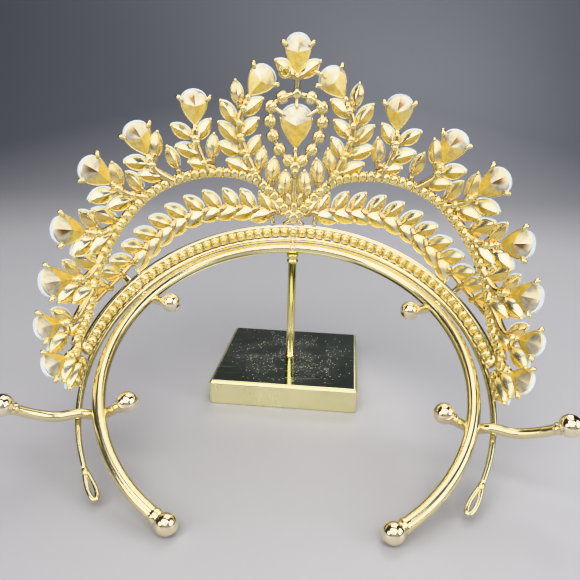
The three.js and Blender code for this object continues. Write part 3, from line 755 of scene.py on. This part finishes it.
bandPiece = Piece("gilt_band", "tiara_gilt", [wireGilt, castGilt])
railTurn = np.linspace(-band["railEnd"], band["railEnd"], 181)
fullness = np.clip((band["railEnd"] - np.abs(railTurn)) / band["taper"], 0, 1)
railThick = band["railTip"] + (railRadius - band["railTip"]) * fullness
bandPiece.add(wire(level(0, band["railEnd"], 181), railThick, 16))
bandPiece.add(wire(level(band["stripLevel"], band["end"], 141), roundEnds(1.0, 141, 0.01), 12, flat=1.3))
for cupTurn in np.linspace(-band["end"], band["end"], 2 * band["cups"] + 1)[1::2]:
    across, up, turn = onBand(band["cupLevel"], cupTurn)
    bandPiece.add(laid(bandCup, across, up, -turn), 1)
loopTurn = np.linspace(0, 2 * math.pi, 49)[:-1]
aside = band["eyeWide"] * np.sin(loopTurn) * (0.72 - 0.28 * np.cos(loopTurn))
eyeLine = np.column_stack([
    band["eyeHalf"] * (1 - np.cos(loopTurn)),
    aside * math.cos(band["eyeTurn"]),
    -aside * math.sin(band["eyeTurn"]),
])
eye = wire(eyeLine, 0.72 + 0.12 * np.sin(loopTurn / 2), 10, (0, 0.6, 1), closed=True)
eyeRoot = moved(pebble(3.6, 2.5, 1.2, 1.2, square=2.4, sides=12, rings=6, middleShade=0.2), (0.4, 0, 0))
across, up, turn = onBand(0, band["railEnd"])
for side in (-1, 1):
    bandPiece.add(laid(eye, across, up, -turn, side))
    bandPiece.add(laid(eyeRoot, across, up, -turn, side), 1)
plateNub = pebble(2.6, 2.6, 2.3, 0.6, sides=14, rings=7, middleShade=0.2)
bandPiece.add(merged([  # small plate over the middle
    moved(pebble(5.2, 7.2, 1.9, 1.2, square=2.2, sides=24, rings=10, middleShade=0.3), (0, 3.4, 0)),
    *[moved(plateNub, (x, y, 0.2)) for x, y in ((-1.5, 5.0), (1.4, 5.3), (0, 3.2))],
    moved(pebble(2.8, 3.2, 2.1, 0.8, square=2.1, rings=7, middleShade=0.2), (0, -0.2, 0.1)),
]))
bandPiece.make("tiara_band")

# side ornaments
lowerCups = [  # across, up and heading
    (107.9, -31.5, -30), (110.6, -32.4, -5), (106.6, -36.2, -41), (109.5, -38.9, -42), (112.3, -41.5, -43),
]
hanger = np.array([(10.2, 12.2, 0), (9.6, 10.0, 0), (9.2, 7.6, 0)])
for side, word in ((-1, "left"), (1, "right")):
    ornament = Piece("ornament_" + word + "_gilt", "tiara_gilt", [castGilt, leafGilt, crystal, brightRim])
    addChain(ornament, archLine, arch["split"], 1, side)
    addWire(ornament, lifted(garlandLine[::4], -0.1), 1.15, 8, side, paintedShade=0.5)
    for row in garland["rows"]:
        for i in range(row["count"]):
            index = round((i + row["start"]) * garland["pitch"] * (len(garlandLine) - 1))
            foot = garlandLine[index]
            way = headingOf(garlandLine, index) + math.radians(row["turn"])
            tip = foot + row["length"] * pointing(way)
            addLeaf(ornament, foot, tip, side, lift=row["lift"], broad=row["broad"])
    addLeaf(ornament, (6.6, 12.2), (10.6, 19.2), side, lift=0.4, broad=1.1)
    addWire(ornament, hanger, 1.0, 8, side, paintedShade=0.3)
    for row in sprays:
        ahead = pointing(math.radians(row["heading"]))
        point = np.array([row["x"], row["y"]])
        root = archLine[round(row["root"] * (len(archLine) - 1))]
        stem = smoothLine([root, point - 6 * ahead, point - 0.6 * ahead], 14)
        addWire(ornament, lifted(stem, -0.05), np.linspace(1.9, 1.4, 14), 10, side, paintedShade=0.4)
        for spot in row["leaves"]:
            addLeaf(ornament, spot[:2], spot[2:], side, [archLine, stem])
        size = pear["length"] * row["size"], pear["width"] * row["size"]
        addPear(ornament, *point, row["heading"], side, *size, warm=150, spot=row["spot"])
    for x, y, turn in lowerCups:
        ornament.add(laid(archCup, x, y, math.radians(turn), side, 0.98))
    ornament.make("ornament_" + word)

# centre motif
centre = {
    "oval": [
        (0, 62.6), (5.7, 61.1), (10.4, 57.8), (11, 50.7), (9.5, 44.7), (6.8, 39.6), (3.2, 35.3), (0, 31.8),
    ],
    "cups": 6, "cupsStart": 0.075, "cupsEnd": 0.966,
    "stone": {"x": 0, "y": 40.4, "heading": 90, "length": 18.4, "width": 13.4,
              "warm": 180, "spot": 0.0, "shoulder": 116, "eared": False},
    "top": {"x": 0, "y": 70.2, "heading": 90, "length": 15.76, "width": 10.4,
            "warm": 180, "spot": 0.6, "shoulder": 104},
    "branchStone": {"x": 19.9, "y": 61.4, "heading": 129, "length": 14.4, "width": 11.0,
                    "warm": 132, "spot": 0.3},
    "topLeaf": ((1.0, 69.2), (9.2, 75.4)),
    "arm": [(10.3, 57.0, 0.1), (7.8, 55.8, 0.4), (6.0, 54.7, 1.1), (4.8, 53.9, 1.45)],
    "prong": [(0, 62.6, 0), (0, 60.0, 0.2), (0, 58.2, 0.7), (0, 56.6, 1.25)],
    "crossing": [(0, 10.4, 0.1), (3.4, 11.3, 0.1), (6.9, 12.0, 0.1)],
    "footWire": [(0.8, 9.6, 0), (2.4, 8.2, 0), (4.4, 7.0, 0)],
    "petals": [  # across, up, length and heading
        (0, 14.6, 6.5, 90), (-2.6, 18.4, 6.4, 105), (2.6, 18.4, 6.4, 75),
        (-5.6, 22.2, 6, 110), (5.6, 22.2, 6, 70),
    ],
    "curl": {"x": -5.0, "y": 71.0, "lift": 1.9, "radius": 2.6, "tightens": 0.1, "rises": 0.05, "turn": 2.2},
    "tiePin": [(6.6, 71.6, 1.7), (9.2, 70.4, 1.6), (12.0, 69.0, 1.0)],
}
motif = Piece("centre_gilt", "tiara_gilt", [castGilt, leafGilt, crystal, brightRim])
ovalTop, ovalFoot = centre["oval"][0][1], centre["oval"][-1][1]
for low, high, foot, head in ((10, centre["stone"]["y"], 1.35, 0.8), (ovalTop, centre["top"]["y"], 1.3, 1.2)):
    run = np.column_stack([np.zeros(9), np.linspace(low, high - 0.5, 9), np.full(9, -0.05)])
    addWire(motif, run, np.linspace(foot, head, 9), 10, paintedShade=0.2)
for y, size in ((ovalTop, 3.8), (ovalFoot + 0.6, 4.6)):
    motif.add(moved(pebble(size, size, 1.7, 1.2, square=3.0, middleShade=0.45), (0, y, 0), math.pi / 4))
footPin = np.array([(0, ovalFoot, 0.2), (0, ovalFoot - 2, 0.2), (0, ovalFoot - 4.5, 0)])
addWire(motif, footPin, np.array([1.9, 1.6, 0.9]), 10, paintedShade=0.3)
addPear(motif, side=1, **centre["stone"])
addPear(motif, side=1, **centre["top"])
oval = smoothLine(centre["oval"], 161)
cupped = (np.linspace(0, 1, 161) - centre["cupsStart"]) / (centre["cupsEnd"] - centre["cupsStart"])
swell = np.sin(math.pi * centre["cups"] * np.clip(cupped, 0, 1)) ** 2  # the wire rises over each cup
ovalWire = np.column_stack([oval[:, 0] * 0.97, oval[:, 1], 0.1 + 1.15 * swell])
for side in (-1, 1):
    addChain(motif, archLine, arch["start"], arch["split"], side)
    addWire(motif, ovalWire, 0.95 + 0.2 * swell, 10, side, paintedShade=0.25 - 0.2 * swell)
    for i in range(centre["cups"]):
        index = int(np.argmin(np.abs(cupped - (i + 0.5) / centre["cups"])))
        motif.add(laid(ovalCup, oval[index][0], oval[index][1], headingOf(oval, index), side))
    addWire(motif, lifted(branchLine[::3], -0.05), np.linspace(1.85, 1.4, 21), 10, side, paintedShade=0.4)
    for spot in branch["leaves"]:
        addLeaf(motif, spot[:2], spot[2:], side, [branchLine, archLine[:60]])
    addLeaf(motif, *centre["topLeaf"], side)
    addPear(motif, side=side, **centre["branchStone"])
    armThick = np.linspace(0.95, 0.7, 12) * roundEnds(1.0, 12, 0.1)
    addWire(motif, smoothLine(centre["arm"], 12), armThick, 10, side, paintedShade=0.05)
    addWire(motif, centre["crossing"], 1.0, 8, side, paintedShade=0.3)
    addWire(motif, centre["footWire"], 0.85, 8, side, paintedShade=0.3)
motif.add(moved(pebble(4.6, 4.6, 1.9, 1.0, square=3.2, middleShade=0.3), (0, 10.2, 0), math.pi / 4))
for x, y, length, turn in centre["petals"]:
    petal = pebble(length, 3.3, 1.5, 1.0, square=2.2, sides=14, rings=7, middleShade=0.4)
    motif.add(moved(petal, (x, y, 0), math.radians(turn)))
curl = centre["curl"]
coil = np.linspace(0, 4.4 * math.pi, 60)
reach = curl["radius"] - curl["tightens"] * coil
curlLine = np.column_stack([
    curl["x"] + reach * np.cos(coil + curl["turn"]),
    curl["y"] + reach * np.sin(coil + curl["turn"]),
    curl["lift"] + curl["rises"] * coil,
])
addWire(motif, curlLine, roundEnds(0.42, 60, 0.03), 8, paintedShade=0.15)
pinThick = np.linspace(0.85, 0.6, 10) * roundEnds(1.0, 10, 0.1)
addWire(motif, smoothLine(centre["tiePin"], 10), pinThick, 10, paintedShade=0.05)
prongThick = np.linspace(0.9, 0.7, 12) * roundEnds(1.0, 12, 0.1)
motif.add(wire(smoothLine(centre["prong"], 12), prongThick, 10, (1, 0, 0), paintedShade=0.05))
motif.make("centre_motif")
sideStones = [f"stone_{word}_{i}" for word in ("left", "right") for i in range(8)]
stones.make("stone_centre", "stone_top", *sideStones)

# stand
standPiece = Piece("stand_hoop_gilt", "stand_gilt", [standGilt, ballGilt])
hoopTurn = np.linspace(-hoop["end"], hoop["end"], 481)
hoopLine = hoop["radius"] * np.column_stack([np.sin(hoopTurn), np.cos(hoopTurn), np.zeros(481)])


def collared(line, radius):  # a soft ring beside the ball at each end
    rise, gap, wide = 0.45, 0.35, 0.45
    fromEnds = np.minimum(*(np.linalg.norm(line - end, axis=1) for end in (line[0], line[-1])))
    return radius + rise * np.exp(-((fromEnds - hoop["ball"] - gap) / wide) ** 4)


standPiece.add(wire(hoopLine, collared(hoopLine, hoop["tube"]), 28), 0, lean)
topLump = pebble(3.4, 3.4, 1.7, 1.7, sides=20, rings=10, middleShade=0.0)
standPiece.add(moved(topLump, (0, 66.95, 0.95)), 1, lean)


def addBall(x, y, z, deep=1.0):
    radius = hoop["ball"]
    ball = pebble(2 * radius, 2 * radius * deep, radius, radius, sides=32, rings=20, middleShade=0.0)
    standPiece.add(moved(ball, (x, y, z)), 1, lean)


for side in (-1, 1):
    tip = hoopLine[-1] * np.array([side, 1, 1])
    addBall(*tip, deep=0.935)
    for bar in hoop["bars"]:
        angle = math.radians(bar["angle"])
        across, up = side * math.sin(angle), math.cos(angle)
        reaches = [hoop["radius"] + spot for spot in hoop["spots"]]
        route = smoothLine([(r * across, r * up, h) for r, h in zip(reaches, bar["heights"])], 91)
        standPiece.add(wire(route, collared(route, hoop["bar"]), 20, (up, -across, 0)), 0, lean)
        addBall(*route[0])
        addBall(*route[-1])
standPiece.make("stand_hoop")

block = {"side": 64.0, "height": 10.6, "edge": 1.5, "foot": 0.5, "turn": math.radians(-4.2)}
post = {"foot": 2.5, "radius": 1.85, "collar": 2.6, "collarLength": 4.0, "rim": 2.4, "groove": 2.25}
postFoot, postTop = block["height"], hoopHeight - hoop["tube"] - clearance
collarFoot = postTop - post["collarLength"]
profile = [  # radius and height, from the foot up
    (post["foot"], postFoot + 0.1), (post["foot"] - 0.2, postFoot + 0.5),
    (post["radius"], postFoot + 0.9), (post["radius"], collarFoot - 0.2),
    (post["rim"], collarFoot), (post["collar"], collarFoot + 0.5), (post["collar"], collarFoot + 1.1),
    (post["groove"], collarFoot + 1.5), (post["groove"], collarFoot + 2.4),
    (post["collar"], collarFoot + 2.8), (post["collar"], postTop - 0.2), (post["rim"], postTop),
]


def upright(points):
    return np.asarray(points, float) * mm


postPiece = Piece("stand_post_gilt", "stand_gilt", [postGilt])
postLine = np.array([(0, 0, height) for radius, height in profile])
postPiece.add(wire(postLine, np.array([radius for radius, height in profile]), 28, (0, 1, 0)), 0, upright)
postPiece.make("stand_post")


def roundedBlock():
    curve = [(1 - math.sin(angle), 1 - math.cos(angle)) for angle in np.linspace(0, math.pi / 2, 6)]
    levels = [(block["foot"] * inset, block["foot"] * z) for inset, z in curve]
    levels += [(block["edge"] * inset, block["height"] - block["edge"] * z) for inset, z in curve[::-1]]
    corner = np.concatenate([np.linspace(0, math.pi / 2, 5) + k * math.pi / 2 for k in range(4)])
    centres = np.repeat(np.array([(1, 1), (-1, 1), (-1, -1), (1, -1)]), 5, axis=0)
    centres = centres * (block["side"] / 2 - block["edge"])
    points = []
    for inset, z in levels:
        reach = block["edge"] - inset
        for (x, y), angle in zip(centres, corner):
            points.append((x + reach * math.cos(angle), y + reach * math.sin(angle), z))
    return np.array(points), grid(len(levels), len(corner), True), len(corner)


def turned(points):
    c, s = math.cos(block["turn"]), math.sin(block["turn"])
    x, y, z = np.asarray(points, float).T
    return np.column_stack([x * c - y * s, x * s + y * c, z]) * mm


basePiece = Piece("stand_base_mirror", "base_mirror", [plainSide, mirrorTop])
blockPoints, blockFaces, ringSize = roundedBlock()
underside, top = tuple(range(ringSize))[::-1], tuple(range(ringSize))
basePiece.add((blockPoints, blockFaces + [underside], np.zeros(len(blockPoints))), 0, turned)
basePiece.add((blockPoints[-ringSize:], [top], np.zeros(ringSize)), 1, turned)
basePiece.make("stand_base")
print("pieces made")

# stage, light and camera
# the far colour is painted shade: the paper darkens away from the stand as if the light fell off there
paper = {
    "pale": (0.33, 0.326, 0.345, 1), "cloud": (0.36, 0.356, 0.372, 1), "far": (0.10, 0.105, 0.125, 1),
    "roughness": 0.5,
}
# the floor's side view in metres: flat, then curving up behind
sweep = {"front": -1.6, "bendStart": 0.5, "bendRadius": 0.5, "height": 2.2, "half": 2.4, "steps": 25}


def stageMaterial():
    made, tree, shader = newMaterial("pale paper")
    spot = node(tree, "TexCoord").outputs["Object"]
    pale = blended(tree, noise(tree, spot, 6.0, 2.0), paper["pale"], paper["cloud"])
    away = node(tree, "VectorMath", {0: spot}, operation="LENGTH").outputs["Value"]
    far = spread(tree, away, 0.35, 0.85)  # painted light falloff: the paper darkens away from the stand
    shaded = blended(tree, far, pale, paper["far"])
    tree.links.new(shaded, shader.inputs["Base Color"])
    shader.inputs["Roughness"].default_value = paper["roughness"]
    return made


sweepLine = [(sweep["front"], 0.0)]
for angle in np.linspace(0, math.pi / 2, sweep["steps"]):
    sweepLine.append((sweep["bendStart"] + sweep["bendRadius"] * math.sin(angle),
                      sweep["bendRadius"] * (1 - math.cos(angle))))
sweepLine.append((sweep["bendStart"] + sweep["bendRadius"], sweep["height"]))
floorPoints = [(x, y, z) for y, z in sweepLine for x in (-sweep["half"], sweep["half"])]
floorFaces = [(2 * i, 2 * i + 1, 2 * i + 3, 2 * i + 2) for i in range(len(sweepLine) - 1)]
floorMesh = bpy.data.meshes.new("pale_floor")
floorMesh.from_pydata(floorPoints, [], floorFaces)
floorMesh.polygons.foreach_set("use_smooth", [True] * len(floorMesh.polygons))
floorMesh.materials.append(stageMaterial())
floor = bpy.data.objects.new("pale_floor", floorMesh)
bpy.context.scene.collection.objects.link(floor)

lamps = [  # places and sizes in metres
    {"name": "softbox", "at": (-0.2, -0.8, 1.0), "size": 1.2, "watts": 20.0, "tint": (1, 0.985, 0.96)},
    {"name": "side", "at": (1.0, -0.3, 0.6), "size": 0.7, "watts": 4.0, "tint": (0.95, 0.97, 1)},
    {"name": "overhead", "at": (0.1, 0.4, 1.1), "size": 0.9, "watts": 6.0, "tint": (1, 1, 1)},
    {"name": "low_left", "at": (-0.7, -0.6, 0.35), "size": 0.4, "watts": 2.4, "tint": (1, 0.98, 0.94)},
    {"name": "low_right", "at": (0.75, -0.55, 0.35), "size": 0.4, "watts": 2.0, "tint": (1, 0.99, 0.96)},
    {"name": "far_side", "at": (0.3, 0.85, 0.9), "size": 0.6, "watts": 4.5, "tint": (1, 1, 1)},
    {"name": "front_panel", "at": (0.1, -1.2, 0.3), "size": 1.4, "watts": 2.0, "tint": (1, 0.99, 0.97)},
    {"name": "high_right", "at": (0.45, -0.75, 0.95), "size": 0.3, "watts": 2.0, "tint": (1, 0.99, 0.96)},
]
lampAim = (0, -0.02, 0.07)
for lamp in lamps:
    light = bpy.data.lights.new(lamp["name"], "AREA")
    light.size, light.energy, light.color = lamp["size"], lamp["watts"], lamp["tint"]
    holder = bpy.data.objects.new(lamp["name"], light)
    holder.location = lamp["at"]
    aim = bpy.data.objects.new(lamp["name"] + "_aim", None)
    aim.location = lampAim
    track = holder.constraints.new("TRACK_TO")
    track.target, track.track_axis, track.up_axis = aim, "TRACK_NEGATIVE_Z", "UP_Y"
    bpy.context.scene.collection.objects.link(holder)
    bpy.context.scene.collection.objects.link(aim)

world = bpy.data.worlds.new("studio")
world.use_nodes = True
surround = world.node_tree.nodes["Background"].inputs
surround["Color"].default_value = (0.50, 0.52, 0.56, 1)
surround["Strength"].default_value = 0.12
bpy.context.scene.world = world
bpy.context.scene.view_settings.view_transform = "Khronos PBR Neutral"

sensorWidth = 36
shot = {
    "at": (3.935, -260.6, 128.8), "yaw": 0.018, "pitch": 0.317, "roll": 0.027,
    "focal": 595.61 / 580 * sensorWidth,  # 595.61 pixels of a picture 580 wide
}
cosP, sinP = math.cos(shot["pitch"]), math.sin(shot["pitch"])
ahead = np.array([-math.sin(shot["yaw"]) * cosP, math.cos(shot["yaw"]) * cosP, -sinP])
right = np.array([math.cos(shot["yaw"]), math.sin(shot["yaw"]), 0])
above = np.cross(right, ahead)
rolledRight = right * math.cos(shot["roll"]) + above * math.sin(shot["roll"])
rolledUp = -right * math.sin(shot["roll"]) + above * math.cos(shot["roll"])
camera = bpy.data.objects.new("camera", bpy.data.cameras.new("camera"))
camera.data.lens, camera.data.sensor_width = shot["focal"], sensorWidth
camera.data.clip_start, camera.data.clip_end = 0.01, 20
pose = np.eye(4)
pose[:3, :3] = np.column_stack([rolledRight, rolledUp, -ahead])
pose[:3, 3] = np.array(shot["at"]) * mm
camera.matrix_world = Matrix(pose.tolist())
bpy.context.scene.collection.objects.link(camera)
bpy.context.scene.camera = camera
print("stage ready")
